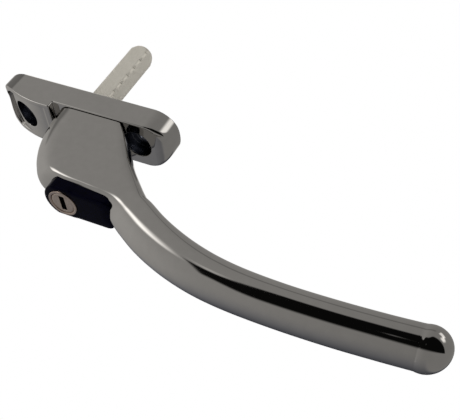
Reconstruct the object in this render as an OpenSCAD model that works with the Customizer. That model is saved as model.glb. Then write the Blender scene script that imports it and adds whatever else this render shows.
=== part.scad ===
// Locking in-line window handle (tilt turn handle).
// Frame: origin on the spindle axis at the mounting face of the base plate,
// +Z up the plate, -Y out into the room, +Y along the spindle into the sash.
// The modules are drawn in plate axes: x across, y up the plate, z out of the plate.

/* [Base plate] */
// Reach of the base plate above the spindle axis
plate_up = 34.2; // [33.5:0.1:36]
// Reach of the base plate below the spindle axis
plate_down = 33; // [32:0.1:36]
// Width of the base plate
plate_w = 17.2; // [17.2:0.1:20]
// Thickness of the plate under the neck
plate_t = 8.8; // [8.4:0.1:9]
// Thickness of the raised top end
raised_t = 11.4; // [10:0.1:13]
// Distance of the step of the raised end from the spindle axis
step_y = 9.3; // [9.2:0.1:10]
// Distance between the two fixing holes
hole_pitch = 43; // [43:0.5:44]
// Radius of the fixing holes
hole_r = 2.6; // [2.2:0.1:2.8]
// Radius of the screw head recesses
head_r = 4.9; // [4:0.1:5]
// Depth left under the screw heads
head_seat = 4.4; // [4:0.1:5]

/* [Spindle] */
// Across-flats size of the square spindle
spindle_w = 7; // [6.8:0.05:7]
// Length of the spindle behind the mounting face
spindle_out = 33; // [15:1:55]
// Pitch of the snap-off notches
notch_pitch = 4.4; // [4:0.1:6]

/* [Lever] */
// Height of the neck's underside over the mounting face
neck_z = 9.2; // [9.2:0.05:9.4]
// Half width of the grip bar
bar_w = 6.5; // [6.1:0.1:6.8]
// Half height of the grip bar
bar_h = 6.2; // [5.8:0.1:6.4]
// Radius of the ball end
ball_r = 6.55; // [6.3:0.05:7]
// Distance of the ball's centre below the spindle axis
ball_a = 128.5; // [127.8:0.1:130]

/* [Lock] */
// Distance of the lock's axis below the spindle axis
lock_a = 12.87; // [12.8:0.01:13]
// Inward travel of the lock button
travel = 3; // [2.5:0.1:3]
// Half width of the lock button
button_w = 5.85; // [5.7:0.05:5.9]
// Height of the button's front face
button_z = 39.5; // [39:0.1:40]

/* [Hidden] */
$fn = 48;
hub_r = 6.0;         // running radius of the carrier in its bush
bush_r = 7.0;        // bore of the plate for the bush
clip_r = 7.4;        // recess for the washers and the circlip

// plate axes to object axes: z of the children points out into the room
module out() rotate([90, 0, 0]) children();

module tube(r1, r2, h) difference() {
    cylinder(r = r2, h = h);
    translate([0, 0, -1]) cylinder(r = r1, h = h + 2);
}

module stadium(w, l, h) union() {
    translate([-w / 2, -(l - w) / 2, 0]) cube([w, l - w, h]);
    for (s = [-1, 1]) translate([0, s * (l - w) / 2, 0]) cylinder(r = w / 2, h = h, $fn = 96);
}

// round bar swept along a helix, as a closed polyhedron
module coil(rm, rw, h, turns, sides = 6, steps = 14) {
    n = round(turns * steps);
    function centre(i) = let (t = i / n, a = 360 * turns * t) [rm * cos(a), rm * sin(a), rw + (h - 2 * rw) * t];
    pts = [for (i = [0:n]) let (a = 360 * turns * i / n, c = centre(i))
        for (k = [0:sides - 1]) let (b = 360 * k / sides)
            c + rw * [cos(b) * cos(a), cos(b) * sin(a), sin(b)]];
    faces = concat(
        [[for (k = [0:sides - 1]) k]],
        [for (i = [0:n - 1]) for (k = [0:sides - 1]) for (f = [0, 1])
            let (a = i * sides + k, b = i * sides + (k + 1) % sides)
            f == 0 ? [a, a + sides, b] : [b, a + sides, b + sides]],
        [[for (k = [0:sides - 1]) n * sides + sides - 1 - k]]);
    polyhedron(points = pts, faces = faces, convexity = 10);
}

// ---------- base ----------
module side_profile() {
    // lower end: flat front with a round nose; upper end: raised, falling away to a tangent nose
    nose = 5.2;
    tip = 4.4;
    fall = 36;
    fall_y = 12.2;
    tip_y = plate_up - tip;
    tip_z = raised_t - fall + sqrt((fall - tip) * (fall - tip) - (tip_y - fall_y) * (tip_y - fall_y));
    meet_y = fall_y + fall * (tip_y - fall_y) / (fall - tip);
    union() {
        translate([-20, -plate_down + nose, 0]) cube([40, plate_down - nose + step_y, plate_t]);
        translate([-20, -plate_down, 0]) cube([40, nose + 1, plate_t - nose]);
        translate([-20, -plate_down + nose, plate_t - nose]) rotate([0, 90, 0]) cylinder(r = nose, h = 40, $fn = 96);
        intersection() {
            translate([-20, step_y, 0]) cube([40, meet_y - step_y, raised_t]);
            translate([-20, fall_y, raised_t - fall]) rotate([0, 90, 0]) cylinder(r = fall, h = 40, $fn = 180);
        }
        translate([-20, tip_y, tip_z]) rotate([0, 90, 0]) cylinder(r = tip, h = 40, $fn = 96);
        translate([-20, tip_y - 1, 0]) cube([40, tip + 1, tip_z]);
        translate([-20, step_y, 0]) cube([40, fall_y - step_y, raised_t]);
    }
}

module base_plate() color([0.55, 0.54, 0.52]) out() difference() {
    intersection() {
        translate([0, (plate_up - plate_down) / 2, 0]) stadium(plate_w, plate_up + plate_down, 20);
        side_profile();
    }
    // bush bore and the washer recess behind it
    translate([0, 0, -1]) cylinder(r = bush_r, h = 20);
    translate([0, 0, -1]) cylinder(r = clip_r, h = 4);
    // shallow seat of the retainer plate
    translate([0, 0, -1]) union() {
        cylinder(r = 7.7, h = 1.9);
        translate([-3, 0, 0]) cube([6, 15.8, 1.9]);
    }
    // pocket of the detent, open to the back
    translate([-1.7, 5, -1]) cube([3.4, 10.2, 7.4]);
    // hole for the locking bolt
    translate([0, -lock_a, 5]) cylinder(r = 2.3, h = 10);
    for (s = [-1, 1]) translate([0, s * hole_pitch / 2, 0]) {
        translate([0, 0, -1]) cylinder(r = hole_r, h = 20);
        translate([0, 0, head_seat]) cylinder(r = head_r, h = 20);
    }
}

module retainer_plate() color("silver") out() translate([0, 0, 0.1]) difference() {
    union() {
        cylinder(r = 7.6, h = 0.75);
        translate([-2.9, 0, 0]) cube([5.8, 15.7, 0.75]);
    }
    translate([0, 0, -1]) cylinder(r = 4.8, h = 3);
}

module hub_bush() color([0.15, 0.15, 0.16]) out() difference() {
    translate([0, 0, 3]) tube(hub_r + 0.05, bush_r - 0.02, plate_t - 3);
    translate([0, 5, 4.9]) rotate([-90, 0, 0]) cylinder(r = 1.65, h = 4);
}

module glide_washer() color([0.1, 0.1, 0.1]) out() translate([0, 0, plate_t]) tube(hub_r + 0.1, 8, 0.3);

module detent_ball() color("silver") out() translate([0, hub_r + 1.65, 4.9]) sphere(r = 1.5, $fn = 32);

module detent_spring() color([0.6, 0.6, 0.6]) out()
    translate([0, hub_r + 3.25, 4.9]) rotate([-90, 0, 0]) coil(1.15, 0.22, 5.6, 6, 6, 12);

// ---------- handle ----------
module spindle_carrier() color([0.6, 0.6, 0.58]) out() difference() {
    union() {
        translate([0, 0, 1.1]) cylinder(r = hub_r, h = neck_z - 1.1);
        translate([0, 0, neck_z]) cylinder(r = 5.5, h = 7.1);
    }
    // square socket of the spindle
    translate([-spindle_w / 2 - 0.03, -spindle_w / 2 - 0.03, -1]) cube([spindle_w + 0.06, spindle_w + 0.06, 16.4]);
    // circlip groove
    translate([0, 0, 1.9]) tube(5.3, 7, 0.75);
    // four detent seats
    for (q = [0:90:270]) rotate([0, 0, q]) translate([0, hub_r + 0.8, 4.9]) sphere(r = 1.55, $fn = 32);
    // cross hole of the pin
    translate([-8, 0, 13]) rotate([0, 90, 0]) cylinder(r = 1.25, h = 16);
}

module thrust_washer() color("silver") out() translate([0, 0, 2.72]) tube(hub_r + 0.08, 7.25, 0.25);
module wave_washer() color([0.65, 0.65, 0.65]) out() translate([0, 0, 2.6]) tube(hub_r + 0.1, 7.1, 0.12);
module circlip() color([0.3, 0.3, 0.3]) out() translate([0, 0, 1.92]) difference() {
    tube(5.33, 6.9, 0.65);
    translate([-1, -8, -1]) cube([2, 4, 3]);
}

module spindle() color([0.66, 0.63, 0.57]) out() difference() {
    intersection() {
        translate([-spindle_w / 2, -spindle_w / 2, -spindle_out]) cube([spindle_w, spindle_w, spindle_out + 15]);
        // chamfered corners
        rotate([0, 0, 45]) translate([-4.55, -4.55, -spindle_out]) cube([9.1, 9.1, spindle_out + 15]);
        // pointed tip
        union() {
            translate([0, 0, -spindle_out]) cylinder(r1 = 3.3, r2 = 5.2, h = 1.9);
            translate([0, 0, -spindle_out + 1.9]) cylinder(r = 5.2, h = spindle_out + 14);
        }
    }
    // snap-off notches across the four corners
    for (i = [0:5]) translate([0, 0, -8.2 - i * notch_pitch]) for (q = [45:90:315]) rotate([0, 0, q])
        translate([4.57, 0, 0]) rotate([0, 45, 0]) cube([0.42, 4, 0.42], center = true);
    // cross hole of the pin
    translate([-8, 0, 13]) rotate([0, 90, 0]) cylinder(r = 1.25, h = 16);
}

module spindle_pin() color([0.4, 0.4, 0.4]) out() translate([-5.3, 0, 13]) rotate([0, 90, 0]) tube(0.6, 1.25, 10.6);

// control sections of the lever. Each joins a point on the window side to a point on
// the room side: [a, c] inner, [a, c] outer, half width at front and back, height and
// sweep of the front arc, height and sweep of the back arc. a runs down the handle.
function wid(c) = 8.35 - 0.055 * (c - neck_z);
function neck(ia, ic, oa, oc, hf, pf, hb, pb) =
    [ia, ic, oa, oc, wid(oc), wid(ic), hf, pf, hb, pb];
function bar(a, c, al, h, wf, wb, hf, pf, hb, pb) =
    [a + h * sin(al), c - h * cos(al), a - h * sin(al), c + h * cos(al), wf, wb, hf, pf, hb, pb];
function ball(a) = let (d = a - ball_a, r = sqrt(max(0, ball_r * ball_r - d * d)), c = 47.1 - 0.09 * d)
    [a, c - r, a, c + r, r, r, r, 90, r, 90];

ctrl = [
    neck(18.0, neck_z, -8.2, neck_z, 8.2, 90, 1.2, 50),
    neck(21.6, 13.0, -7.9, 14.2, 8.2, 90, 1.4, 50),
    neck(24.6, 16.7, -7.0, 20.2, 8.1, 89, 1.6, 52),
    neck(27.6, 20.4, -5.2, 26.0, 7.8, 87, 1.8, 54),
    neck(30.4, 23.3, -2.5, 31.0, 6.8, 80, 1.9, 56),
    neck(32.5, 25.3, 1.3, 34.7, 5.0, 66, 2.0, 58),
    neck(34.5, 27.2, 8.6, 36.0, 2.6, 44, 2.1, 60),
    neck(36.7, 29.2, 17.5, 36.5, 2.2, 40, 2.3, 62),
    neck(39.1, 31.0, 26.3, 38.2, 3.7, 54, 2.6, 64),
    bar(37.6, 37.3, 32, 6.6, 6.8, 7.2, 4.5, 67, 3.0, 66),
    bar(44.0, 40.9, 26, 6.65, 6.75, 7.1, 5.2, 76, 3.4, 71),
    bar(51.0, 43.9, 20, 6.65, 6.65, 6.95, 5.5, 80, 4.2, 78),
    bar(58.5, 46.3, 15, 6.6, 6.6, 6.75, 5.8, 84, 5.1, 84),
    bar(67.0, 48.1, 10, 6.5, 6.55, 6.6, 6.2, 88, 6.0, 89),
    bar(77.0, 49.1, 4.5, bar_h + 0.15, bar_w, bar_w, bar_h + 0.15, 90, bar_h + 0.15, 90),
    bar(90.0, 49.4, 0, bar_h, bar_w, bar_w, bar_h, 90, bar_h, 90),
    bar(104.0, 49.0, -3.2, bar_h, bar_w, bar_w, bar_h, 90, bar_h, 90),
    bar(117.0, 48.15, -4.6, bar_h, bar_w - 0.05, bar_w - 0.05, bar_h, 90, bar_h, 90),
    bar(126.4, 47.3, -5, 6.3, 6.35, 6.35, 6.3, 90, 6.3, 90)];

function spline(p0, p1, p2, p3, t) = 0.5 * (2 * p1 + (p2 - p0) * t
    + (2 * p0 - 5 * p1 + 4 * p2 - p3) * t * t + (3 * p1 - p0 - 3 * p2 + p3) * t * t * t);
function at(i) = ctrl[max(0, min(len(ctrl) - 1, i))];
sub = 2;
rows = concat(
    [for (i = [0:len(ctrl) - 2]) for (j = [0:sub - 1]) spline(at(i - 1), at(i), at(i + 1), at(i + 2), j / sub)],
    [ctrl[len(ctrl) - 1]],
    [for (d = [-1.2, 0.4, 2.1, 3.6, 4.9, 5.8, 6.35, 6.53]) ball(ball_a + d)]);
nf = 8;
nb = 6;
ring_n = nf + nb + 2;
function ring(q) = let (
    dx = q[2] - q[0], dz = q[3] - q[1], h = sqrt(dx * dx + dz * dz), ux = dx / h, uz = dz / h)
    concat(
        [for (k = [0:nf]) let (t = (-1 + 2 * k / nf) * q[7])
            [q[4] * sin(t) / sin(q[7]), h - q[6] + q[6] * (cos(t) - cos(q[7])) / (1 - cos(q[7]))]],
        [for (k = [0:nb]) let (t = (1 - 2 * k / nb) * q[9])
            [q[5] * sin(t) / sin(q[9]), q[8] - q[8] * (cos(t) - cos(q[9])) / (1 - cos(q[9]))]]);
function place(q, uv) = let (
    dx = q[2] - q[0], dz = q[3] - q[1], h = sqrt(dx * dx + dz * dz))
    [uv[0], -(q[0] + dx / h * uv[1]), q[1] + dz / h * uv[1]];

module lever_skin() {
    pts = [for (q = rows) let (r = ring(q)) for (p = r) place(q, p)];
    m = ring_n;
    n = len(rows);
    faces = concat(
        [[for (k = [0:m - 1]) k]],
        [for (i = [0:n - 2]) for (k = [0:m - 1]) for (f = [0, 1])
            let (a = i * m + k, b = i * m + (k + 1) % m)
            f == 0 ? [a, a + m, b] : [b, a + m, b + m]],
        [[for (k = [0:m - 1]) (n - 1) * m + m - 1 - k]]);
    polyhedron(points = pts, faces = faces, convexity = 8);
}

// outline of the lock button: round about the lock at the top, square with round corners below
module button_shape(g, h) {
    w = button_w + g;
    union() {
        translate([0, -lock_a, 0]) cylinder(r = w + 1, h = h);
        translate([-w, -27.6, 0]) cube([2 * w, 27.6 - lock_a, h]);
        translate([-w + 2.8, -30.4 - g, 0]) cube([2 * w - 5.6, 8, h]);
        for (s = [-1, 1]) translate([s * (w - 2.8), -27.6 - g, 0]) cylinder(r = 2.8, h = h);
    }
}

module handle_lever() color([0.52, 0.51, 0.5]) out() difference() {
    lever_skin();
    // blind bore of the spindle carrier
    translate([0, 0, 8]) cylinder(r = 5.5, h = 8.4);
    // pocket of the button, bore of the barrel and bore of the bolt
    intersection() {
        translate([0, 0, 27]) button_shape(0.12, 30);
        translate([-6.22, -60, 0]) cube([12.44, 60, 80]);
    }
    translate([0, -lock_a, 13]) cylinder(r = 4.65, h = 20);
    translate([0, -lock_a, 10]) cylinder(r = 3, h = 5);
    translate([0, -lock_a, 5]) cylinder(r = 2.15, h = 10);
    // cross hole of the stop pin, from the window side
    translate([0, -34, 22.5]) rotate([-90, 0, 0]) cylinder(r = 0.8, h = 20);
}

module bolt_guide_bush() color([0.75, 0.6, 0.3]) out() translate([0, -lock_a, 10.05]) tube(2.05, 2.98, 2.9);

module button_stop_pin() color([0.5, 0.5, 0.5]) out() translate([0, -27.2, 22.5]) rotate([-90, 0, 0]) cylinder(r = 0.78, h = 10.6);

// shown at the length it has with the button pressed
module button_return_spring() color([0.6, 0.6, 0.6]) out()
    translate([0, -lock_a, 13.05]) coil(3.4, 0.3, 2.7, 4, 6, 14);

// ---------- lock button ----------
module lock_button() color([0.02, 0.02, 0.03]) out() difference() {
    intersection() {
        translate([0, 0, 30.5]) button_shape(0, button_z - 30.5);
        translate([-6.1, -60, 0]) cube([12.2, 60, 80]);
    }
    translate([0, -lock_a, 20]) cylinder(r = 4.5, h = 30);
    translate([0, -lock_a, 38]) cylinder(r = 4.96, h = 30);
    // hollow of the button's tail
    translate([-4.1, -28.6, 29]) cube([8.2, 10, 8]);
}

module lock_barrel() color([0.72, 0.65, 0.58]) out() translate([0, -lock_a, 0]) difference() {
    union() {
        translate([0, 0, 19]) cylinder(r = 4.5, h = 20);
        translate([0, 0, 38]) cylinder(r = 4.95, h = 1.95);
    }
    translate([0, 0, 20.5]) cylinder(r = 3.55, h = 30);
    translate([0, 0, 38.8]) cylinder(r = 4.05, h = 30);
    translate([0, 0, 18]) cylinder(r = 1.5, h = 5);
    // slot of the stop pin
    translate([-0.85, -6, 21.6]) cube([1.7, 3, travel + 1.75]);
}

module locking_bolt() color([0.6, 0.6, 0.6]) out() translate([0, -lock_a, 0]) union() {
    translate([0, 0, 9.4]) cylinder(r1 = 1.6, r2 = 2, h = 0.5);
    translate([0, 0, 9.9]) cylinder(r = 2, h = 9.1);
    translate([0, 0, 19]) cylinder(r = 1.5, h = 2.2);
}

// ---------- key plug ----------
module key_plug() color([0.78, 0.7, 0.62]) out() translate([0, -lock_a, 0]) difference() {
    union() {
        translate([0, 0, 38.85]) cylinder(r = 3.95, h = 0.9);
        translate([0, 0, 24.2]) cylinder(r = 3.5, h = 15);
        translate([0, 0, 22.9]) cylinder(r = 1.2, h = 2);
    }
    // keyway
    translate([-2.95, -0.8, 25.5]) cube([5.9, 1.6, 20]);
    // slots of the wafers, pockets of their springs
    for (i = [0:4]) translate([0, 0, 27 + 2.2 * i]) {
        translate([-3.1, -1.75, 0]) cube([6.2, 3.5, 0.9]);
        translate([-1.6, -2.4, 0.45]) rotate([0, 90, 0]) cylinder(r = 0.5, h = 3.2);
    }
    translate([0, 0, 22]) cylinder(r = 0.65, h = 3.4);
}

module lock_wafers() color([0.8, 0.68, 0.35]) out() translate([0, -lock_a, 0])
    for (i = [0:4]) translate([0, 0, 27.05 + 2.2 * i]) difference() {
        translate([-3, -1.65, 0]) cube([6, 3.3, 0.8]);
        translate([-2.5 + 0.15 * (i % 3), -0.8, -1]) cube([4.7, 1.6, 3]);
    }

module wafer_springs() color([0.6, 0.6, 0.6]) out() translate([0, -lock_a, 0])
    for (i = [0:4]) translate([-1.5, -2.4, 27.45 + 2.2 * i]) rotate([0, 90, 0]) coil(0.34, 0.09, 3, 4, 4, 8);

module plug_cam() color([0.6, 0.6, 0.6]) out() translate([0, -lock_a, 22.9]) difference() {
    union() {
        cylinder(r = 2.4, h = 1.2);
        translate([-3.2, -1.1, 0]) cube([3.2, 2.2, 1.2]);
    }
    translate([0, 0, -1]) cylinder(r = 1.25, h = 4);
}

module plug_screw() color([0.5, 0.5, 0.5]) out() translate([0, -lock_a, 0]) difference() {
    union() {
        translate([0, 0, 21.8]) cylinder(r = 1.9, h = 1.05);
        translate([0, 0, 22.85]) cylinder(r = 0.63, h = 2.4);
    }
    translate([-0.2, -3, 21.4]) cube([0.4, 6, 0.8]);
}

base_plate();
retainer_plate();
hub_bush();
glide_washer();
detent_ball();
detent_spring();
spindle_carrier();
thrust_washer();
wave_washer();
circlip();
spindle();
spindle_pin();
handle_lever();
bolt_guide_bush();
button_stop_pin();
button_return_spring();
lock_button();
lock_barrel();
locking_bolt();
key_plug();
lock_wafers();
wafer_springs();
plug_cam();
plug_screw();
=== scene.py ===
import math

import bmesh
import bpy
import numpy as np
from mathutils import Matrix, Vector

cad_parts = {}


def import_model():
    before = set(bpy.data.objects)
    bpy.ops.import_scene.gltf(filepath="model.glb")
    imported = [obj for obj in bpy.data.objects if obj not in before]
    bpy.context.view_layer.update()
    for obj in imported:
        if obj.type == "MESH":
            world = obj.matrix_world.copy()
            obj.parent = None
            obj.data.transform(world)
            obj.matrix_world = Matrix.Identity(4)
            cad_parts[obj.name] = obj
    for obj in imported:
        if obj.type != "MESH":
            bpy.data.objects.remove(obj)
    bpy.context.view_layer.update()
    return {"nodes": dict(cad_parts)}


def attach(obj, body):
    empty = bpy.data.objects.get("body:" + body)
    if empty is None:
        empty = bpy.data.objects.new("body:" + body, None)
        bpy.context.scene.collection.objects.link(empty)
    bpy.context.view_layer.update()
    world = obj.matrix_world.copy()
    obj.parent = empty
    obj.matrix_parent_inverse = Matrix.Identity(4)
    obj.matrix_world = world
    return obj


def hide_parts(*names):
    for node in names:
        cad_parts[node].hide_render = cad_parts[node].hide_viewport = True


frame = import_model()
NODES = frame["nodes"]
MM = 0.001


# ---------------------------------------------------------------- mesh helpers
# Pieces are drawn in plate axes, in millimetres: x across, y up the plate, z out
# into the room. The row frame is (x, -z, y).
def world(p):
    p = np.asarray(p, float)
    return np.stack([p[:, 0], -p[:, 2], p[:, 1]], 1) * MM


def mesh_object(name, pts, faces, normals=None, smooth=True):
    me = bpy.data.meshes.new(name)
    me.from_pydata(world(pts).tolist(), [], [list(map(int, f)) for f in faces])
    me.validate()
    me.polygons.foreach_set("use_smooth", [smooth] * len(me.polygons))
    me.update()
    ob = bpy.data.objects.new(name, me)
    bpy.context.scene.collection.objects.link(ob)
    if normals is not None:
        n = np.stack([normals[:, 0], -normals[:, 2], normals[:, 1]], 1)
        me.normals_split_custom_set_from_vertices(n.tolist())
    return ob


def tidy(ob, merge=0.0):
    bm = bmesh.new()
    bm.from_mesh(ob.data)
    if merge:
        bmesh.ops.remove_doubles(bm, verts=bm.verts, dist=merge * MM)
    bmesh.ops.recalc_face_normals(bm, faces=bm.faces)
    bm.to_mesh(ob.data)
    bm.free()
    ob.data.update()
    return ob


def sharpen(ob, degrees=32):
    """Smooth faces with the edges steeper than that angle left sharp."""
    me = ob.data
    me.polygons.foreach_set("use_smooth", [True] * len(me.polygons))
    me.set_sharp_from_angle(angle=math.radians(degrees))
    me.update()


def apply_all(ob):
    dg = bpy.context.evaluated_depsgraph_get()
    me = bpy.data.meshes.new_from_object(ob.evaluated_get(dg))
    old = ob.data
    ob.modifiers.clear()
    ob.data = me
    bpy.data.meshes.remove(old)
    return ob


def cut(ob, *cutters):
    for c in cutters:
        m = ob.modifiers.new("cut", "BOOLEAN")
        m.operation = "DIFFERENCE"
        m.solver = "EXACT"
        m.object = c
        apply_all(ob)
        bpy.data.objects.remove(c)
    return ob


def bevel(ob, width, segments=2, degrees=40):
    m = ob.modifiers.new("bevel", "BEVEL")
    m.width = width * MM
    m.segments = segments
    m.limit_method = "ANGLE"
    m.angle_limit = math.radians(degrees)
    m.use_clamp_overlap = True
    return apply_all(ob)


def stack(name, rings, smooth=True):
    """Closed rings of equal length joined one after another, with the ends closed."""
    rings = [np.asarray(r, float) for r in rings]
    n = len(rings[0])
    pts = np.concatenate(rings)
    faces = []
    for i in range(len(rings) - 1):
        for k in range(n):
            a, b = i * n + k, i * n + (k + 1) % n
            faces.append((a, b, b + n, a + n))
    faces.append(tuple(range(n))[::-1])
    last = (len(rings) - 1) * n
    faces.append(tuple(range(last, last + n)))
    return tidy(mesh_object(name, pts, faces, smooth=smooth))


def loop_stack(name, rings):
    """Closed rings joined one after another, and the last to the first."""
    rings = [np.asarray(r, float) for r in rings]
    n, m = len(rings[0]), len(rings)
    faces = []
    for i in range(m):
        j = (i + 1) % m
        for k in range(n):
            k2 = (k + 1) % n
            faces.append((i * n + k, i * n + k2, j * n + k2, j * n + k))
    return tidy(mesh_object(name, np.concatenate(rings), faces))


def circle(r, z, n, cy=0.0, cx=0.0):
    t = np.arange(n) * 2 * math.pi / n
    return np.stack([cx + r * np.cos(t), cy + r * np.sin(t), np.full(n, float(z))], 1)


def lathe(name, profile, cy=0.0, n=96):
    """A turned solid about an axis along z at y = cy. profile is (radius, z) from the
    bottom centre to the top centre, or a closed loop where no radius is 0."""
    if profile[0][0] == 0:
        return stack(name, [circle(max(r, 0.01), z, n, cy) for r, z in profile])
    return loop_stack(name, [circle(r, z, n, cy) for r, z in profile])


def box_cutter(x0, x1, y0, y1, z0, z1):
    ring = lambda z: [(x0, y0, z), (x1, y0, z), (x1, y1, z), (x0, y1, z)]
    return stack("cutter", [ring(z0), ring(z1)], smooth=False)


def rounded(profile, r=0.12, steps=3):
    """Rounds the corners of an open (radius, z) profile."""
    out = [profile[0]]
    for a, b, c in zip(profile, profile[1:], profile[2:]):
        a, b, c = (np.asarray(v, float) for v in (a, b, c))
        u, v = a - b, c - b
        lu, lv = np.linalg.norm(u), np.linalg.norm(v)
        k = min(r, lu * 0.45, lv * 0.45)
        p, q = b + u / lu * k, b + v / lv * k
        for i in range(steps + 1):
            t = i / steps
            out.append(tuple((1 - t) ** 2 * p + 2 * t * (1 - t) * b + t * t * q))
    out.append(profile[-1])
    return out


def surface_net(f, lo, hi, h):
    """The zero surface of f as an even quad mesh whose points lie on it."""
    lo, hi = np.asarray(lo, float), np.asarray(hi, float)
    n = np.ceil((hi - lo) / h).astype(int) + 1
    ax = [lo[i] + h * np.arange(n[i]) for i in range(3)]
    grid = np.stack(np.meshgrid(*ax, indexing="ij"), -1)
    val = f(grid.reshape(-1, 3)).reshape(n)
    cells = n - 1
    total = np.zeros(tuple(cells) + (3,))
    count = np.zeros(tuple(cells))
    sl = lambda o, m: slice(o, o + m)
    for axis in range(3):
        other = [i for i in range(3) if i != axis]
        for da in (0, 1):
            for db in (0, 1):
                o0 = [0, 0, 0]
                o0[other[0]], o0[other[1]] = da, db
                o1 = list(o0)
                o1[axis] = 1
                a = val[tuple(sl(o0[i], cells[i]) for i in range(3))]
                b = val[tuple(sl(o1[i], cells[i]) for i in range(3))]
                cross = (a < 0) != (b < 0)
                t = np.where(cross, a / np.where(cross, a - b, 1), 0)
                pa = grid[tuple(sl(o0[i], cells[i]) for i in range(3))]
                p = pa.copy()
                p[..., axis] += t * h
                total += np.where(cross[..., None], p, 0)
                count += cross
    active = count > 0
    index = -np.ones(tuple(cells), int)
    index[active] = np.arange(active.sum())
    pts = total[active] / count[active][:, None]
    quads = []
    for axis in range(3):
        u, v = [i for i in range(3) if i != axis]
        a = val[tuple(slice(0, n[i] - 1) if i == axis else slice(1, n[i] - 1) for i in range(3))]
        b = val[tuple(slice(1, n[i]) if i == axis else slice(1, n[i] - 1) for i in range(3))]
        cross = (a < 0) != (b < 0)
        where = np.argwhere(cross)
        inside = (a < 0)[cross]
        base = where.copy()
        base[:, u] += 1
        base[:, v] += 1
        def cell(du, dv):
            c = base.copy()
            c[:, u] -= du
            c[:, v] -= dv
            return index[c[:, 0], c[:, 1], c[:, 2]]
        q = np.stack([cell(1, 1), cell(0, 1), cell(0, 0), cell(1, 0)], 1)
        flip = inside ^ (axis == 1)
        q[~flip] = q[~flip][:, ::-1]
        quads.append(q)
    quads = np.concatenate(quads)

    def grad(p, e):
        g = np.zeros_like(p)
        for i in range(3):
            d = np.zeros(3)
            d[i] = e
            g[:, i] = (f(p + d) - f(p - d)) / (2 * e)
        return g

    for _ in range(6):
        g = grad(pts, 0.02)
        step = (f(pts) / np.maximum((g * g).sum(1), 0.2))[:, None] * g
        pts = pts - np.clip(step, -h, h)
    g = grad(pts, 0.03)
    normals = g / np.maximum(np.linalg.norm(g, axis=1), 1e-9)[:, None]
    return pts, quads, normals


def smax(a, b, k):
    h = np.maximum(k - np.abs(a - b), 0) / k
    return np.maximum(a, b) + h * h * k / 4


def smin(a, b, k):
    return -smax(-a, -b, k)


def corner(a, b, r):
    """Intersection of two half spaces whose corner is rounded to radius r."""
    p, q = a + r, b + r
    return np.minimum(np.maximum(p, q), 0) + np.hypot(np.maximum(p, 0), np.maximum(q, 0)) - r


# ---------------------------------------------------------------- base plate
UP, DOWN, HALF, THICK, RAISED, STEP = 34.2, 33.0, 8.6, 8.8, 11.4, 9.3
LOCK = 12.87
PITCH = 43.0


def plate_field(p):
    x, y, z = p[:, 0], p[:, 1], p[:, 2]
    mid, seg = (UP - DOWN) / 2, (UP + DOWN) / 2 - HALF
    out = np.hypot(x, np.maximum(np.abs(y - mid) - seg, 0)) - HALF
    low = smax(corner(z - THICK, -DOWN - y, 5.2), y - STEP - 0.8, 0.1)
    fall = 36.0
    arc = np.hypot(np.maximum(y - 12.2, 0), z - (RAISED - fall)) - fall
    arc = np.where(z < RAISED - fall, -10, arc)
    high = corner(arc, y - UP, 4.2)
    high = smax(high, STEP - y, 0.35)
    prof = smin(low, high, 0.3)
    prof = np.maximum(prof, y - UP)
    blend = np.clip((-y - 24.0) / 7.0, 0, 1)
    d = smax(prof, out, 0.55 + 1.1 * blend * blend * (3 - 2 * blend))
    d = smax(d, -z, 0.25)
    # the sunk seat round the upper screw, with a lip that stays at the end
    end = np.clip((y - 26.5) / 4.5, 0, 1)
    end = end * end * (3 - 2 * end)
    depth = 0.95 * np.clip((y - 13.0) / 15.0, 0, 1) ** 1.3 + 0.55 * end
    seat = smax(out + 1.35 + 0.9 * end, -(arc + depth), 0.3)
    seat = smax(seat, 11.5 - y, 0.5)
    d = smax(d, -seat, 0.4)
    rad = np.hypot(x, y)
    d = smax(d, -(rad - 7.0), 0.2)
    d = smax(d, -smax(rad - 7.4, z - 3.0, 0.05), 0.15)
    seat2 = np.minimum(smax(rad - 7.7, z - 0.9, 0.05),
                       np.maximum.reduce([np.abs(x) - 3, -y, y - 15.8, z - 0.9]))
    d = smax(d, -seat2, 0.12)
    pocket = np.maximum.reduce([np.abs(x) - 1.7, 5 - y, y - 15.2, z - 6.4])
    d = smax(d, -pocket, 0.12)
    bolt = smax(np.hypot(x, y + LOCK) - 2.3, 5 - z, 0.1)
    d = smax(d, -bolt, 0.15)
    for s in (-1, 1):
        r = np.hypot(x, y - s * PITCH / 2)
        d = smax(d, -(r - 2.6), 0.2)
        d = smax(d, -smax(r - 4.9, 4.4 - z, 0.15), 0.28)
    return d


def base_plate():
    pts, quads, nor = surface_net(plate_field, (-9.1, -33.5, -0.5), (9.1, 34.7, 11.9),
                                  0.24)
    return mesh_object("plate", pts, quads, nor)


# ---------------------------------------------------------------- lever
NECK_Z, BAR_W, BAR_H, BALL_R, BALL_A = 9.2, 6.5, 6.2, 6.55, 128.5


SQUARE = 0.76        # below 1 the neck's corners are fuller than an ellipse


def wid(c):
    return 8.35 - 0.055 * (c - NECK_Z)


def neck(ia, ic, oa, oc, hf, pf, hb, pb):
    return [ia, ic, oa, oc, wid(oc), wid(ic), hf, pf, hb, pb]


def bar(a, c, al, h, wf, wb, hf, pf, hb, pb):
    s, k = math.sin(math.radians(al)), math.cos(math.radians(al))
    return [a + h * s, c - h * k, a - h * s, c + h * k, wf, wb, hf, pf, hb, pb]


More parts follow.
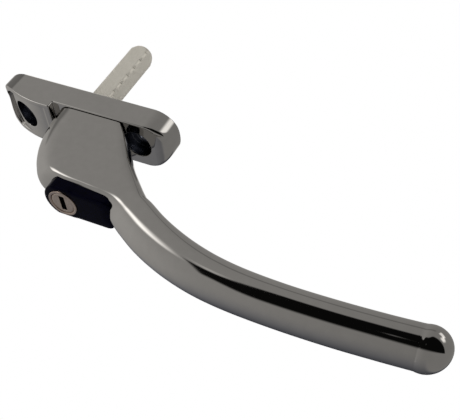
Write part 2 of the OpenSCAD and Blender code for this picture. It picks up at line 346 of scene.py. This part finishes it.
CTRL = [
    neck(18.0, NECK_Z, -8.2, NECK_Z, 8.2, 90, 1.2, 50),
    neck(21.6, 13.0, -7.9, 14.2, 8.2, 90, 1.4, 50),
    neck(24.6, 16.7, -7.0, 20.2, 8.1, 89, 1.6, 52),
    neck(27.6, 20.4, -5.2, 26.0, 7.8, 87, 1.8, 54),
    neck(30.4, 23.3, -2.5, 31.0, 6.8, 80, 1.9, 56),
    neck(32.5, 25.3, 1.3, 34.7, 5.0, 66, 2.0, 58),
    neck(34.5, 27.2, 8.6, 36.0, 2.6, 44, 2.1, 60),
    neck(36.7, 29.2, 17.5, 36.5, 2.2, 40, 2.3, 62),
    neck(39.1, 31.0, 26.3, 38.2, 3.7, 54, 2.6, 64),
    bar(37.6, 37.3, 32, 6.6, 6.8, 7.2, 4.5, 67, 3.0, 66),
    bar(44.0, 40.9, 26, 6.65, 6.75, 7.1, 5.2, 76, 3.4, 71),
    bar(51.0, 43.9, 20, 6.65, 6.65, 6.95, 5.5, 80, 4.2, 78),
    bar(58.5, 46.3, 15, 6.6, 6.6, 6.75, 5.8, 84, 5.1, 84),
    bar(67.0, 48.1, 10, 6.5, 6.55, 6.6, 6.2, 88, 6.0, 89),
    bar(77.0, 49.1, 4.5, BAR_H + 0.15, BAR_W, BAR_W, BAR_H + 0.15, 90, BAR_H + 0.15, 90),
    bar(90.0, 49.4, 0, BAR_H, BAR_W, BAR_W, BAR_H, 90, BAR_H, 90),
    bar(104.0, 49.0, -3.2, BAR_H, BAR_W, BAR_W, BAR_H, 90, BAR_H, 90),
    bar(117.0, 48.15, -4.6, BAR_H, BAR_W - 0.05, BAR_W - 0.05, BAR_H, 90, BAR_H, 90),
    bar(126.4, 47.3, -5, 6.3, 6.35, 6.35, 6.3, 90, 6.3, 90),
]


def lever_row(s):
    """Section number s, a cubic through the control sections."""
    n = len(CTRL) - 1
    i = min(int(s), n - 1)
    t = s - i
    p = [np.array(CTRL[max(0, min(n, i + k))], float) for k in (-1, 0, 1, 2)]
    return 0.5 * (2 * p[1] + (p[2] - p[0]) * t + (2 * p[0] - 5 * p[1] + 4 * p[2] - p[3]) * t * t
                  + (3 * p[1] - p[0] - 3 * p[2] + p[3]) * t ** 3)


def ball_row(d):
    r = math.sqrt(max(BALL_R ** 2 - d * d, 1e-4))
    a, c = BALL_A + d, 47.1 - 0.09 * d
    return np.array([a, c - r, a, c + r, r, r, r, 90, r, 90])


def lever_ring(q, soft, inset=0.0, square=1.0, nf=44, ns=14, nb=30):
    """Points of one section: front arc, side, back arc, side, with softened corners."""
    dx, dz = q[2] - q[0], q[3] - q[1]
    h = math.hypot(dx, dz)
    ux, uz = dx / h, dz / h
    wf, wb, hf, pf, hb, pb = q[4], q[5], q[6], math.radians(q[7]), q[8], math.radians(q[9])
    def arc(n, w, hh, ph, front):
        k = np.arange(n + 1) / n
        t = (-1 + 2 * k) * ph if front else (1 - 2 * k) * ph
        p = square if front else 1.0
        u = w * np.sign(t) * np.abs(np.sin(t)) ** p / math.sin(ph) ** p
        low = max(math.cos(ph), 0.0) ** p
        e = (np.maximum(np.cos(t), 0) ** p - low) / (1 - low)
        return np.stack([u, h - hh + hh * e if front else hh - hh * e], 1)
    def side(a, b, n):
        k = (np.arange(1, n) / n)[:, None]
        return a * (1 - k) + b * k
    f = arc(nf, wf, hf, pf, True)
    b = arc(nb, wb, hb, pb, False)
    pts = np.concatenate([f, side(f[-1], b[0], ns), b, side(b[-1], f[0], ns)])
    seg = np.linalg.norm(np.roll(pts, -1, 0) - pts, axis=1)
    at = np.concatenate([[0], np.cumsum(seg)])
    total = at[-1]
    closed = np.concatenate([pts, pts[:1]])
    m = 720
    u = np.arange(m) * total / m
    dense = np.stack([np.interp(u, at, closed[:, i]) for i in (0, 1)], 1)
    freq = np.fft.fftfreq(m, total / m) * 2 * math.pi
    z = np.fft.ifft(np.fft.fft(dense[:, 0] + 1j * dense[:, 1]) * np.exp(-0.5 * (freq * soft) ** 2))
    zc = np.concatenate([z, z[:1]])
    uu = np.concatenate([u, [total]])
    x = np.interp(at[:-1], uu, zc.real)
    v = np.interp(at[:-1], uu, zc.imag)
    inset += 0.004
    if inset:
        cx, cv = 0.0, v.mean()
        r = np.hypot(x - cx, v - cv)
        k = 1 - inset / np.maximum(r, 1e-6)
        x, v = cx + (x - cx) * k, cv + (v - cv) * k
    return np.stack([x, -(q[0] + ux * v), q[1] + uz * v], 1)


def button_outline(inset, n, grow=0.0, clip=6.1):
    """Outline of the lock button about the lock's axis, as n points."""
    w = 5.85 + grow
    t = np.arange(n) * 2 * math.pi / n
    dirs = np.stack([np.cos(t), np.sin(t)], 1)

    def field(p):
        x, y = p[:, 0], p[:, 1] - LOCK
        disc = np.hypot(x, y + LOCK) - (w + 1)
        r = 2.8
        ay = np.abs(y + (LOCK + 30.4 + grow) / 2) - (30.4 + grow - LOCK) / 2
        ax = np.abs(x) - w
        slab = np.where(y > -20, np.maximum(ax, ay),
                        np.minimum(np.maximum(ax + r, ay + r), 0)
                        + np.hypot(np.maximum(ax + r, 0), np.maximum(ay + r, 0)) - r)
        d = smin(disc, slab, 0.6)
        return smax(d, np.abs(x) - clip, 0.25) + inset

    a, b = np.full(n, 3.0), np.full(n, 30.0)
    for _ in range(36):
        m = (a + b) / 2
        inside = field(dirs * m[:, None] + np.array([0, 0])) < 0
        a, b = np.where(inside, m, a), np.where(inside, b, m)
    return dirs * a[:, None] + np.array([0, -LOCK])


def outline_ring(inset, z, n=160, grow=0.0, clip=6.1):
    o = button_outline(inset, n, grow, clip)
    return np.concatenate([o, np.full((n, 1), float(z))], 1)


def handle_lever():
    fine = 9
    last = len(CTRL) - 1
    rings = [lever_ring(lever_row(s), 0.5, g, SQUARE) for s, g in ((0.0, 0.30), (0.004, 0.16), (0.016, 0.05), (0.035, 0.0))]
    first = 0.1
    for i in range(int(round((last - first) * fine)) + 1):
        s = min(first + i / fine, last)
        soft = 0.62 + 0.5 * min(1, max(0, s - 1) / 3) - 0.75 * min(1, max(0, s - 7.5) / 5)
        rings.append(lever_ring(lever_row(s), soft, 0.0, SQUARE + (1 - SQUARE) * min(1, max(0, (s - 3) / 3))))
    rings.append(lever_ring(lever_row(last), 0.4))
    start, stop = math.asin(1.55 / BALL_R), math.asin(6.52 / BALL_R)
    for k in range(33):
        t = -start + (start + stop) * (k / 32) ** 0.9
        rings.append(lever_ring(ball_row(BALL_R * math.sin(t)), 0.02))
    ob = stack("lever", rings)
    pocket = stack("cutter", [outline_ring(0, 27, 160, 0.12, 6.22), outline_ring(0, 60, 160, 0.12, 6.22)])
    bores = lathe("cutter", [(0, 5), (2.15, 5), (2.15, 10), (3, 10), (3, 13), (4.65, 13), (4.65, 33), (0, 33)], -LOCK, 64)
    hub = lathe("cutter", [(0, 5), (5.5, 5), (5.5, 16.4), (0, 16.4)], 0, 64)
    pin = stack("cutter", [np.stack([0.8 * np.cos(t), np.full(24, y), 22.5 + 0.8 * np.sin(t)], 1)
                           for y in (-34.0, -14.0) for t in [np.arange(24) * 2 * math.pi / 24]])
    cut(ob, pocket, bores, hub, pin)
    sharpen(ob, 35)
    return ob


# ---------------------------------------------------------------- spindle
def spindle():
    n = 96
    base = np.arange(n) * 2 * math.pi / n
    # more points near the four corners
    t = base - 0.16 * np.sin(4 * base) * -1
    def section(z, corner_at, scale=1.0, half=3.5):
        c, s = np.abs(np.cos(t)), np.abs(np.sin(t))
        flat = half / np.maximum(c, s)
        cutc = corner_at / ((c + s) / math.sqrt(2))
        k = 0.12
        h = np.maximum(k - np.abs(flat - cutc), 0) / k
        r = np.minimum(flat, cutc) - h * h * k / 4
        r = r * scale
        return np.stack([r * np.cos(t), r * np.sin(t), np.full(n, float(z))], 1)
    rows = []
    tip = -33.0
    for z, cap in ((0, 3.3), (0.06, 3.45), (0.25, 3.66), (0.6, 3.9), (1.1, 4.12), (1.6, 4.3), (2.0, 4.55)):
        ring = section(tip + z, min(4.55, cap + 0.3), 1.0, 3.5)
        rad = np.hypot(ring[:, 0], ring[:, 1])
        lim = cap + (0.0 if z < 1.9 else 5)
        k = np.minimum(1, lim / rad)
        ring[:, 0] *= k
        ring[:, 1] *= k
        rows.append(ring)
    marks = sorted(-8.2 - 4.4 * i for i in range(6))
    for m in marks:
        rows += [section(m - 0.24, 4.55), section(m - 0.2, 4.53), section(m - 0.04, 4.28),
                 section(m + 0.04, 4.28), section(m + 0.2, 4.53), section(m + 0.24, 4.55)]
    rows += [section(0, 4.55), section(14.9, 4.55), section(15, 4.45, 0.98)]
    ob = stack("spindle_bar", rows)
    hole = stack("cutter", [np.stack([np.full(32, x), 1.25 * np.cos(a), 13 + 1.25 * np.sin(a)], 1)
                            for x in (-8.0, 8.0) for a in [np.arange(32) * 2 * math.pi / 32]])
    cut(ob, hole)
    sharpen(ob, 28)
    return ob


# ---------------------------------------------------------------- button and lock
def lock_button():
    n = 192
    top = 39.5
    rings = [outline_ring(0.12, 30.5, n), outline_ring(0.0, 30.7, n)]
    rings += [outline_ring(0.0, z, n) for z in (33, 35.5, 37.5, 38.72)]
    for k in range(1, 7):
        a = math.radians(15 * k)
        rings.append(outline_ring(0.62 * (1 - math.cos(a)), 38.84 + 0.62 * math.sin(a), n))
    rings.append(outline_ring(0.75, 39.48, n))
    rings.append(outline_ring(0.8, top, n))
    hole = circle(4.96, top, n, -LOCK)
    edge = rings[-1]
    for f in (0.3, 0.6, 0.85, 0.97):
        rings.append(edge * (1 - f) + hole * f)
    rings += [circle(4.99, top - 0.02, n, -LOCK), circle(4.96, top - 0.07, n, -LOCK), circle(4.96, 38, n, -LOCK),
              circle(4.5, 38, n, -LOCK), circle(4.5, 30.5, n, -LOCK)]
    for r in rings:
        r[:, 2] = np.minimum(r[:, 2], top)
    ob = loop_stack("button_cap", rings)
    cut(ob, box_cutter(-4.1, 4.1, -28.6, -18.6, 29, 37))
    sharpen(ob, 38)
    return ob


def lock_barrel():
    loop = [(4.5, 19.15), (4.5, 38), (4.95, 38.05), (4.95, 39.78), (4.92, 39.88), (4.84, 39.95), (4.3, 39.95),
            (4.18, 39.92), (4.08, 39.82), (4.05, 39.7), (4.05, 38.8), (3.55, 38.8), (3.55, 20.5), (1.5, 20.5), (1.5, 19.0), (4.35, 19.0)]
    ob = lathe("barrel", loop, -LOCK, 128)
    cut(ob, box_cutter(-0.85, 0.85, -LOCK - 6, -LOCK - 3, 21.6, 26.35))
    sharpen(ob, 38)
    return ob


def key_plug():
    prof = [(0, 22.9), (1.1, 22.9), (1.2, 23.0), (1.2, 24.2), (3.35, 24.2), (3.5, 24.35), (3.5, 38.85), (3.95, 38.85), (3.95, 39.58),
            (3.92, 39.67), (3.84, 39.73), (3.7, 39.75), (3.3, 39.75), (2.2, 39.75), (0, 39.75)]
    ob = lathe("plug", prof, -LOCK, 96)
    y = -LOCK
    slots = [box_cutter(-3.1, 3.1, y - 1.75, y + 1.75, 27 + 2.2 * i, 27.9 + 2.2 * i) for i in range(5)]
    pockets = [stack("cutter", [np.stack([np.full(20, x), y - 2.4 + 0.5 * np.cos(a), 27.45 + 2.2 * i + 0.5 * np.sin(a)], 1)
                                for x in (-1.6, 1.6) for a in [np.arange(20) * 2 * math.pi / 20]]) for i in range(5)]
    screw = lathe("cutter", [(0, 22), (0.65, 22), (0.65, 25.4), (0, 25.4)], y, 24)
    way = []
    for z, g in ((25.5, 0), (39.55, 0), (39.66, 0.04), (39.75, 0.13), (45, 0.13)):
        w, h, r = 2.95 + g, 0.95 + g, 0.22
        ring = []
        for cx, cy, s in ((w - r, h - r, 0), (-w + r, h - r, 90), (-w + r, -h + r, 180), (w - r, -h + r, 270)):
            for k in range(5):
                a = math.radians(s + 22.5 * k)
                ring.append((cx + r * math.cos(a), y + cy + r * math.sin(a), z))
        way.append(ring)
    cut(ob, *slots, *pockets, screw, stack("cutter", way))
    sharpen(ob, 38)
    return ob


plate = base_plate()
lever = handle_lever()
bar_ob = spindle()
button = lock_button()
barrel = lock_barrel()
plug = key_plug()

for ob, node, body, slot in (
    (plate, "base_plate", "base", "plated_casting"),
    (lever, "handle_lever", "handle", "plated_casting"),
    (bar_ob, "spindle", "handle", "satin_steel"),
    (button, "lock_button", "button", "black_gloss"),
    (barrel, "lock_barrel", "button", "lock_metal"),
    (plug, "key_plug", "key_core", "lock_metal"),
):
    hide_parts(node)
    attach(ob, body)


# ---------------------------------------------------------------- materials
def material(name, colour_a, colour_b, rough, metal=1.0, scale=900, stretch=(1, 1, 1), bump=0.0,
             bump_scale=4000, rough_spread=0.04, coat=0.0, coat_rough=0.05, detail=6, spots=None,
             specular=0.5):
    m = bpy.data.materials.new(name)
    m.use_nodes = True
    nt = m.node_tree
    nt.nodes.clear()
    out = nt.nodes.new("ShaderNodeOutputMaterial")
    b = nt.nodes.new("ShaderNodeBsdfPrincipled")
    b.inputs["Metallic"].default_value = metal
    b.inputs["Specular IOR Level"].default_value = specular
    if coat:
        b.inputs["Coat Weight"].default_value = coat
        b.inputs["Coat Roughness"].default_value = coat_rough
    nt.links.new(b.outputs[0], out.inputs["Surface"])
    tc = nt.nodes.new("ShaderNodeTexCoord")
    mp = nt.nodes.new("ShaderNodeMapping")
    mp.inputs["Scale"].default_value = stretch
    nt.links.new(tc.outputs["Object"], mp.inputs["Vector"])
    n1 = nt.nodes.new("ShaderNodeTexNoise")
    n1.inputs["Scale"].default_value = scale
    n1.inputs["Detail"].default_value = detail
    nt.links.new(mp.outputs[0], n1.inputs["Vector"])
    ramp = nt.nodes.new("ShaderNodeValToRGB")
    ramp.color_ramp.elements[0].position = 0.3
    ramp.color_ramp.elements[1].position = 0.7
    ramp.color_ramp.elements[0].color = (*colour_a, 1)
    ramp.color_ramp.elements[1].color = (*colour_b, 1)
    nt.links.new(n1.outputs["Fac"], ramp.inputs[0])
    colour = ramp.outputs[0]
    if spots:
        n3 = nt.nodes.new("ShaderNodeTexNoise")
        n3.inputs["Scale"].default_value = spots[0]
        n3.inputs["Detail"].default_value = 2
        nt.links.new(tc.outputs["Object"], n3.inputs["Vector"])
        r3 = nt.nodes.new("ShaderNodeMapRange")
        r3.inputs["From Min"].default_value = spots[1]
        r3.inputs["From Max"].default_value = spots[1] + 0.06
        nt.links.new(n3.outputs["Fac"], r3.inputs[0])
        mx = nt.nodes.new("ShaderNodeMix")
        mx.data_type = "RGBA"
        nt.links.new(r3.outputs[0], mx.inputs["Factor"])
        nt.links.new(colour, mx.inputs["A"])
        mx.inputs["B"].default_value = (*spots[2], 1)
        colour = mx.outputs["Result"]
    nt.links.new(colour, b.inputs["Base Color"])
    mr = nt.nodes.new("ShaderNodeMapRange")
    mr.inputs["To Min"].default_value = max(0.01, rough - rough_spread)
    mr.inputs["To Max"].default_value = rough + rough_spread
    nt.links.new(n1.outputs["Fac"], mr.inputs[0])
    nt.links.new(mr.outputs[0], b.inputs["Roughness"])
    if bump:
        n2 = nt.nodes.new("ShaderNodeTexNoise")
        n2.inputs["Scale"].default_value = bump_scale
        n2.inputs["Detail"].default_value = 4
        nt.links.new(mp.outputs[0], n2.inputs["Vector"])
        bp = nt.nodes.new("ShaderNodeBump")
        bp.inputs["Strength"].default_value = bump
        bp.inputs["Distance"].default_value = 0.0001
        nt.links.new(n2.outputs["Fac"], bp.inputs["Height"])
        nt.links.new(bp.outputs[0], b.inputs["Normal"])
    return m


def put(ob, m):
    ob.data.materials.clear()
    ob.data.materials.append(m)


chrome = material("polished_chrome", (0.605, 0.595, 0.58), (0.635, 0.625, 0.61), 0.055, scale=420, rough_spread=0.012,
                  bump=0.003, bump_scale=1500)
satin = material("satin_zinc", (0.78, 0.75, 0.67), (0.86, 0.83, 0.75), 0.40, scale=4200, stretch=(1, 0.2, 1),
                 bump=0.02, bump_scale=9000, rough_spread=0.06, metal=0.5)
gloss = material("black_gloss", (0.0004, 0.0004, 0.0030), (0.001, 0.001, 0.006), 0.10, metal=0.0, scale=700,
                 bump=0.03, bump_scale=2200, rough_spread=0.05, specular=0.045)
lockm = material("lock_metal", (0.62, 0.50, 0.43), (0.78, 0.66, 0.58), 0.24, scale=1800, stretch=(1, 1, 0.25),
                 bump=0.08, bump_scale=5000, rough_spread=0.07)
plugm = material("plug_metal", (0.66, 0.55, 0.47), (0.80, 0.69, 0.60), 0.22, scale=2400, stretch=(0.3, 1, 1),
                 bump=0.08, bump_scale=6000, rough_spread=0.07)
steel = material("plain_steel", (0.36, 0.36, 0.35), (0.50, 0.50, 0.48), 0.32, scale=1500, bump=0.1, bump_scale=5000)
spring = material("spring_steel", (0.20, 0.20, 0.21), (0.34, 0.34, 0.34), 0.28, scale=2600, bump=0.06, bump_scale=7000)
nylon = material("black_nylon", (0.011, 0.011, 0.012), (0.022, 0.022, 0.022), 0.48, metal=0.0, scale=2200, bump=0.12,
                 bump_scale=6000)
brass = material("brass", (0.58, 0.42, 0.17), (0.74, 0.56, 0.26), 0.27, scale=1700, bump=0.06, bump_scale=5000)
cast = material("cast_zinc", (0.38, 0.38, 0.37), (0.52, 0.52, 0.50), 0.42, scale=1800, bump=0.2, bump_scale=4200)

# painted shade: a dark bluish colour put into the hollows (screw holes, hub bore, bolt hole and key way) to darken
# them where shade falls
painted_recess_shade = material("recess_painted_shade", (0.10, 0.11, 0.14), (0.20, 0.21, 0.25), 0.22, scale=600, rough_spread=0.08,
                  bump=0.05, bump_scale=1800)
put(plate, chrome)
plate.data.materials.append(painted_recess_shade)
# faces inside the screw holes, the hub bore and the bolt hole get the painted shade
for f in plate.data.polygons:
    c = f.center / MM
    x, y, z = c.x, c.z, -c.y
    r = min(math.hypot(x, y - PITCH / 2), math.hypot(x, y + PITCH / 2))
    top = 8.8 if y < 0 else 9.0
    if (r < 5.0 and z < top - 0.45) or math.hypot(x, y) < 7.1 or math.hypot(x, y + LOCK) < 2.35:
        f.material_index = 1
put(lever, chrome)
put(bar_ob, satin)
put(button, gloss)
put(barrel, lockm)
put(plug, plugm)
plug.data.materials.append(painted_recess_shade)
# faces inside the key way get the painted shade
for f in plug.data.polygons:
    c = f.center / MM
    if abs(c.x) < 3.05 and abs(c.z + LOCK) < 1.05 and -c.y < 39.6 and -c.y > 25:
        f.material_index = 1
for name, m in {
    "retainer_plate": steel, "hub_bush": nylon, "glide_washer": nylon, "detent_ball": steel, "detent_spring": spring,
    "spindle_carrier": cast, "thrust_washer": steel, "wave_washer": spring, "circlip": spring, "spindle_pin": spring,
    "bolt_guide_bush": brass, "button_stop_pin": steel, "button_return_spring": spring, "locking_bolt": steel,
    "lock_wafers": brass, "wafer_springs": spring, "plug_cam": steel, "plug_screw": steel,
}.items():
    put(NODES[name], m)


# ---------------------------------------------------------------- stage, light, camera
scene = bpy.context.scene
scene.view_settings.view_transform = "Standard"


def stage_mesh(name, pts, faces, colour, rough=0.8):
    me = bpy.data.meshes.new(name)
    me.from_pydata(pts, [], faces)
    ob = bpy.data.objects.new(name, me)
    scene.collection.objects.link(ob)
    ob.data.materials.append(material(name + "_paint", colour, tuple(min(1, c * 1.02) for c in colour), rough,
                                      metal=0.0, scale=3))
    return ob


floor = stage_mesh("floor", [(-30, -30, -0.32), (30, -30, -0.32), (30, 30, -0.32), (-30, 30, -0.32)], [(0, 1, 2, 3)],
                   (0.86, 0.86, 0.85))
floor.visible_glossy = False

# azimuth and height ranges in degrees, softness of the edge, strength
STRIPS = (
    (-6, 15, 34, 47, 6.5, 1.35),
    (44, 66, -51, -34, 6, 0.95),
    (60, 76, -38, -18, 3, 0.8),
    (-17, -12, 1.6, 2.9, 1.0, 0.12),
    (3, 13, 20.5, 24, 2.5, 0.22),
    (62, 108, 31, 38, 3, 0.8),
    (133, 146, 6, 50, 5, 0.45),
)

wd = bpy.data.worlds.new("studio")
scene.world = wd
wd.use_nodes = True
nt = wd.node_tree
nt.nodes.clear()
world_out = nt.nodes.new("ShaderNodeOutputWorld")


def math_node(kind, *values):
    n = nt.nodes.new("ShaderNodeMath")
    n.operation = kind
    for k, v in enumerate(values):
        if isinstance(v, (int, float)):
            n.inputs[k].default_value = v
        else:
            nt.links.new(v, n.inputs[k])
    return n.outputs[0]


def ramp(x, a, b, lo=0.0, hi=1.0):
    n = nt.nodes.new("ShaderNodeMapRange")
    n.interpolation_type = "SMOOTHSTEP"
    n.inputs["From Min"].default_value = a
    n.inputs["From Max"].default_value = b
    n.inputs["To Min"].default_value = lo
    n.inputs["To Max"].default_value = hi
    nt.links.new(x, n.inputs["Value"])
    return n.outputs[0]


def window(x, a, b, soft):
    """1 between a and b, 0 outside, with soft edges."""
    return math_node("MULTIPLY", ramp(x, a - soft, a + soft), ramp(x, b - soft, b + soft, 1, 0))


# the studio is a soft grey tent, drawn by direction: azimuth and height in degrees
tc = nt.nodes.new("ShaderNodeTexCoord")
sep = nt.nodes.new("ShaderNodeSeparateXYZ")
nt.links.new(tc.outputs["Generated"], sep.inputs[0])
az = math_node("MULTIPLY", math_node("ARCTAN2", sep.outputs["Y"], sep.outputs["X"]), 180 / math.pi)
el = math_node("MULTIPLY", math_node("ARCSINE", sep.outputs["Z"]), 180 / math.pi)
turned = math_node("FLOORED_MODULO", math_node("SUBTRACT", az, 150), 360)

tent = math_node("ADD", ramp(el, -10, 40, 0.228, 0.305), ramp(el, 30, 75, 0, 0.105))
shade = ramp(turned, -22, 142, 0.05, 1)
side = math_node("MULTIPLY", math_node("MULTIPLY", ramp(el, -26, -12), ramp(el, 18, 48, 1, 0)), window(turned, -1, 150, 4))
tent = math_node("MULTIPLY", tent, math_node("SUBTRACT", 1, math_node("MULTIPLY", side, math_node("SUBTRACT", 1, shade))))
az_low = math_node("ADD", math_node("SUBTRACT", az, ramp(el, -12, 6, 13, 0)), ramp(el, 14, 22, 0, 16))
az_left = math_node("SUBTRACT", az, ramp(el, 17, 26, 0, 13))
flag = math_node("MULTIPLY", math_node("MULTIPLY", ramp(az_left, -46, -34), ramp(az_low, 15, 22, 1, 0)), ramp(el, 27, 29.5, 1, 0))
line = math_node("MULTIPLY", window(az, 61, 69, 3), window(el, -6, 21, 4))
tent = math_node("MULTIPLY", tent, math_node("SUBTRACT", 1, math_node("MULTIPLY", line, 0.36)))
tent = math_node("MULTIPLY", tent, math_node("SUBTRACT", 1, math_node("MULTIPLY", flag, 0.985)))
dim = math_node("MULTIPLY", window(az, 42, 112, 6), window(el, 39, 62, 5))
tent = math_node("MULTIPLY", tent, math_node("SUBTRACT", 1, math_node("MULTIPLY", dim, 0.52)))
for a0, a1, e0, e1, soft, power in STRIPS:
    lit = math_node("MULTIPLY", window(az, a0, a1, soft), window(el, e0, e1, soft))
    tent = math_node("ADD", tent, math_node("MULTIPLY", lit, power))
tint = nt.nodes.new("ShaderNodeMix")
tint.data_type = "RGBA"
nt.links.new(math_node("MULTIPLY", side, math_node("SUBTRACT", 1, shade)), tint.inputs["Factor"])
tint.inputs["A"].default_value = (1.03, 1.0, 0.96, 1)
tint.inputs["B"].default_value = (0.90, 0.95, 1.16, 1)
grey = nt.nodes.new("ShaderNodeBackground")
nt.links.new(tint.outputs["Result"], grey.inputs["Color"])
nt.links.new(tent, grey.inputs["Strength"])
white = nt.nodes.new("ShaderNodeBackground")
white.inputs["Color"].default_value = (1, 1, 1, 1)
lp = nt.nodes.new("ShaderNodeLightPath")
mix = nt.nodes.new("ShaderNodeMixShader")
nt.links.new(lp.outputs["Is Camera Ray"], mix.inputs[0])
nt.links.new(grey.outputs[0], mix.inputs[1])
nt.links.new(white.outputs[0], mix.inputs[2])
nt.links.new(mix.outputs[0], world_out.inputs["Surface"])



def spot(name, aim, direction, distance, radius, power):
    """A narrow soft lamp on the spindle that no mirror finish shows."""
    ld = bpy.data.lights.new(name, "SPOT")
    ld.energy = power
    ld.spot_size = 2 * math.atan(radius / distance)
    ld.spot_blend = 0.5
    ld.shadow_soft_size = 0.05
    ob = bpy.data.objects.new(name, ld)
    scene.collection.objects.link(ob)
    d = Vector(direction).normalized()
    ob.location = Vector(aim) + d * distance
    ob.rotation_mode = "QUATERNION"
    ob.rotation_quaternion = d.to_track_quat("Z", "Y")
    ob.visible_glossy = False


spot("spindle_lamp_a", (0, 0.019, 0), (0.74, -0.1, 0.1), 0.5, 0.021, 0.7)
spot("spindle_lamp_b", (0, 0.019, 0), (-0.1, 0.2, -0.9), 0.5, 0.021, 2.2)

# the overhead light that keeps the floor pale
sun_data = bpy.data.lights.new("overhead", "SUN")
sun_data.energy = 1.9
sun_data.angle = math.radians(40)
sun = bpy.data.objects.new("overhead", sun_data)
scene.collection.objects.link(sun)
sun.rotation_mode = "QUATERNION"
sun.rotation_quaternion = Vector((0.35, -0.25, 0.9)).to_track_quat("Z", "Y")
sun.visible_glossy = False

cam = bpy.data.cameras.new("camera")
cam_ob = bpy.data.objects.new("camera", cam)
scene.collection.objects.link(cam_ob)
right = Vector((-0.07610, 0.43270, -0.89830)).normalized()
back = Vector((0.74260, -0.57670, -0.34060)).normalized()
up = back.cross(right).normalized()
right = up.cross(back).normalized()
cam_ob.matrix_world = Matrix((
    (right.x, up.x, back.x, 0.1866),
    (right.y, up.y, back.y, -0.1681),
    (right.z, up.z, back.z, -0.1471),
    (0, 0, 0, 1)))
cam.sensor_fit = "HORIZONTAL"
cam.sensor_width = 36
cam.lens = 66.52
cam.clip_start, cam.clip_end = 0.01, 50
scene.camera = cam_ob
